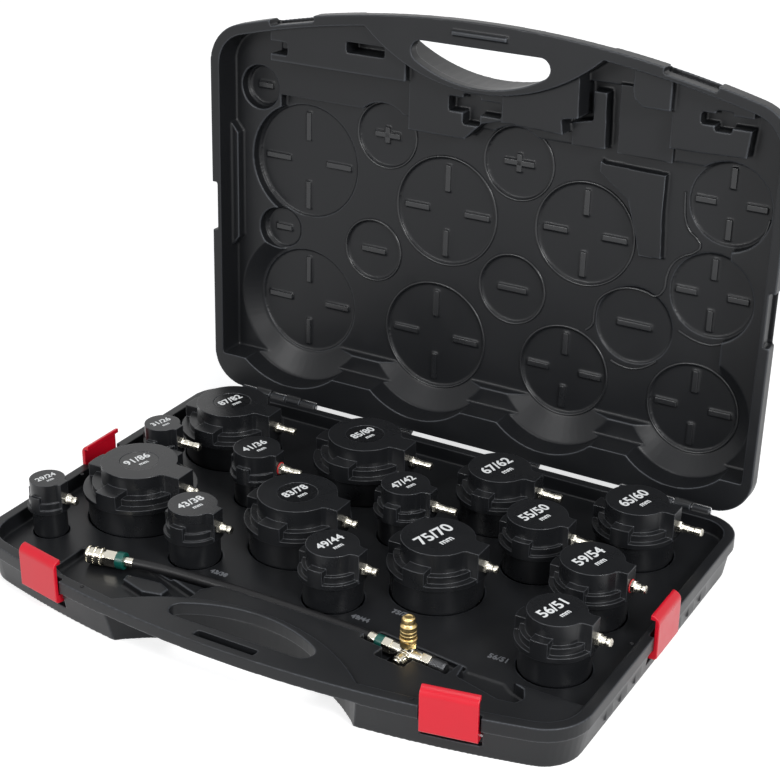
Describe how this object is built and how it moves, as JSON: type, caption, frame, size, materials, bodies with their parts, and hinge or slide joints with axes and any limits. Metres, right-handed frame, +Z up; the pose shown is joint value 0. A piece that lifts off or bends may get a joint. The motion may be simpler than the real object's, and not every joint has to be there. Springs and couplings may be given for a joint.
{
  "type": "leak tester kit",
  "caption": "Open moulded carry case with a bowed handle edge and snap latches, whose tray holds stepped hose adapters with air nipples and a test hose with a relief valve.",
  "frame": {"origin": "centre of the base's underside, which stands on the floor", "axes": "+X right along the handle edge, +Y from the handle edge to the hinge, +Z up"},
  "size_m": [0.5544, 0.4498, 0.4247],
  "materials": {
    "case_plastic": "blow-moulded plastic with a fine grain",
    "adapter_plastic": "satin black moulded plastic",
    "latch_plastic": "glossy red moulded plastic",
    "nickel_plate": "nickel plate",
    "pin_steel": "plain steel wire",
    "green_plastic": "dark green moulded plastic",
    "hose_rubber": "smooth black hose",
    "plug_plastic": "dark threaded plug",
    "brass": "turned brass"
  },
  "bodies": {
    "base": {"base_shell": "case_plastic", "hinge_pin_left": "pin_steel", "hinge_pin_right": "pin_steel", "latch_pin_front_left": "pin_steel", "latch_pin_front_right": "pin_steel", "latch_pin_left": "pin_steel", "latch_pin_right": "pin_steel"},
    "lid": {"lid_shell": "case_plastic"},
    "front_left_latch": {"latch_front_left": "latch_plastic"},
    "front_right_latch": {"latch_front_right": "latch_plastic"},
    "left_latch": {"latch_left": "latch_plastic"},
    "right_latch": {"latch_right": "latch_plastic"},
    "adapter_set_01": {"adapter_01": "adapter_plastic", "nipple_01": "nickel_plate"},
    "adapter_set_02": {"adapter_02": "adapter_plastic", "nipple_02": "nickel_plate"},
    "adapter_set_03": {"adapter_03": "adapter_plastic", "nipple_03": "nickel_plate"},
    "adapter_set_04": {"adapter_04": "adapter_plastic", "nipple_04": "nickel_plate"},
    "adapter_set_05": {"adapter_05": "adapter_plastic", "nipple_05": "nickel_plate"},
    "adapter_set_06": {"adapter_06": "adapter_plastic", "nipple_06": "nickel_plate"},
    "adapter_set_07": {"adapter_07": "adapter_plastic", "nipple_07": "nickel_plate"},
    "adapter_set_08": {"adapter_08": "adapter_plastic", "nipple_08": "nickel_plate"},
    "adapter_set_09": {"adapter_09": "adapter_plastic", "nipple_09": "nickel_plate"},
    "adapter_set_10": {"adapter_10": "adapter_plastic", "nipple_10": "nickel_plate"},
    "adapter_set_11": {"adapter_11": "adapter_plastic", "nipple_11": "nickel_plate"},
    "adapter_set_12": {"adapter_12": "adapter_plastic", "nipple_12": "nickel_plate"},
    "adapter_set_13": {"adapter_13": "adapter_plastic", "nipple_13": "nickel_plate"},
    "adapter_set_14": {"adapter_14": "adapter_plastic", "nipple_14": "nickel_plate"},
    "adapter_set_15": {"adapter_15": "adapter_plastic", "nipple_15": "nickel_plate"},
    "adapter_set_16": {"adapter_16": "adapter_plastic", "nipple_16": "nickel_plate"},
    "hose_set": {"coupler_body": "nickel_plate", "coupler_ring": "green_plastic", "hose": "hose_rubber", "ferrule": "nickel_plate", "ferrule_ring": "green_plastic", "hose_nut": "nickel_plate", "cross_fitting": "nickel_plate", "relief_body": "brass", "end_nut": "nickel_plate", "end_plug": "plug_plastic"},
    "sleeve": {"coupler_sleeve": "nickel_plate"},
    "valve_cap": {"relief_cap": "brass"},
    "knob": {"bleed_knob": "nickel_plate"}
  },
  "joints": [
    {"name": "lid_hinge", "type": "hinge", "parent": "base", "child": "lid", "pos_m": [0, 0.2, 0.038], "axis": [-1, 0, 0], "range_deg": [-92, 0]},
    {"name": "front_left_latch_swing", "type": "hinge", "parent": "base", "child": "front_left_latch", "pos_m": [-0.18574, -0.16237, 0.02], "axis": [0.9811, -0.1934, 0], "range_deg": [-6, 85]},
    {"name": "front_right_latch_swing", "type": "hinge", "parent": "base", "child": "front_right_latch", "pos_m": [0.18574, -0.16237, 0.02], "axis": [0.9811, 0.1934, 0], "range_deg": [-6, 85]},
    {"name": "left_latch_swing", "type": "hinge", "parent": "base", "child": "left_latch", "pos_m": [-0.2685, 0.019, 0.02], "axis": [0, -1, 0], "range_deg": [-6, 85]},
    {"name": "right_latch_swing", "type": "hinge", "parent": "base", "child": "right_latch", "pos_m": [0.2685, 0.019, 0.02], "axis": [0, 1, 0], "range_deg": [-6, 85]},
    {"name": "adapter_01_lift", "type": "slide", "parent": "base", "child": "adapter_set_01", "axis": [0, 0, 1], "range_m": [0, 0.06]},
    {"name": "adapter_02_lift", "type": "slide", "parent": "base", "child": "adapter_set_02", "axis": [0, 0, 1], "range_m": [0, 0.06]},
    {"name": "adapter_03_lift", "type": "slide", "parent": "base", "child": "adapter_set_03", "axis": [0, 0, 1], "range_m": [0, 0.06]},
    {"name": "adapter_04_lift", "type": "slide", "parent": "base", "child": "adapter_set_04", "axis": [0, 0, 1], "range_m": [0, 0.06]},
    {"name": "adapter_05_lift", "type": "slide", "parent": "base", "child": "adapter_set_05", "axis": [0, 0, 1], "range_m": [0, 0.06]},
    {"name": "adapter_06_lift", "type": "slide", "parent": "base", "child": "adapter_set_06", "axis": [0, 0, 1], "range_m": [0, 0.06]},
    {"name": "adapter_07_lift", "type": "slide", "parent": "base", "child": "adapter_set_07", "axis": [0, 0, 1], "range_m": [0, 0.06]},
    {"name": "adapter_08_lift", "type": "slide", "parent": "base", "child": "adapter_set_08", "axis": [0, 0, 1], "range_m": [0, 0.06]},
    {"name": "adapter_09_lift", "type": "slide", "parent": "base", "child": "adapter_set_09", "axis": [0, 0, 1], "range_m": [0, 0.06]},
    {"name": "adapter_10_lift", "type": "slide", "parent": "base", "child": "adapter_set_10", "axis": [0, 0, 1], "range_m": [0, 0.06]},
    {"name": "adapter_11_lift", "type": "slide", "parent": "base", "child": "adapter_set_11", "axis": [0, 0, 1], "range_m": [0, 0.06]},
    {"name": "adapter_12_lift", "type": "slide", "parent": "base", "child": "adapter_set_12", "axis": [0, 0, 1], "range_m": [0, 0.06]},
    {"name": "adapter_13_lift", "type": "slide", "parent": "base", "child": "adapter_set_13", "axis": [0, 0, 1], "range_m": [0, 0.06]},
    {"name": "adapter_14_lift", "type": "slide", "parent": "base", "child": "adapter_set_14", "axis": [0, 0, 1], "range_m": [0, 0.06]},
    {"name": "adapter_15_lift", "type": "slide", "parent": "base", "child": "adapter_set_15", "axis": [0, 0, 1], "range_m": [0, 0.06]},
    {"name": "adapter_16_lift", "type": "slide", "parent": "base", "child": "adapter_set_16", "axis": [0, 0, 1], "range_m": [0, 0.06]},
    {"name": "hose_set_lift", "type": "slide", "parent": "base", "child": "hose_set", "axis": [0, 0, 1], "range_m": [0, 0.06]},
    {"name": "sleeve_slide", "type": "slide", "parent": "hose_set", "child": "sleeve", "axis": [0.985, 0.1724, 0], "range_m": [0, 0.0023], "stiffness_N_per_m": 200, "springref_m": -0.002},
    {"name": "valve_cap_turn", "type": "hinge", "parent": "hose_set", "child": "valve_cap", "pos_m": [0.11745, -0.10435, 0.0268], "axis": [0, 0, 1], "continuous": true},
    {"name": "bleed_knob_turn", "type": "hinge", "parent": "hose_set", "child": "knob", "pos_m": [0.11745, -0.10435, 0.0268], "axis": [-0.118, -0.993, 0], "continuous": true}
  ]
}
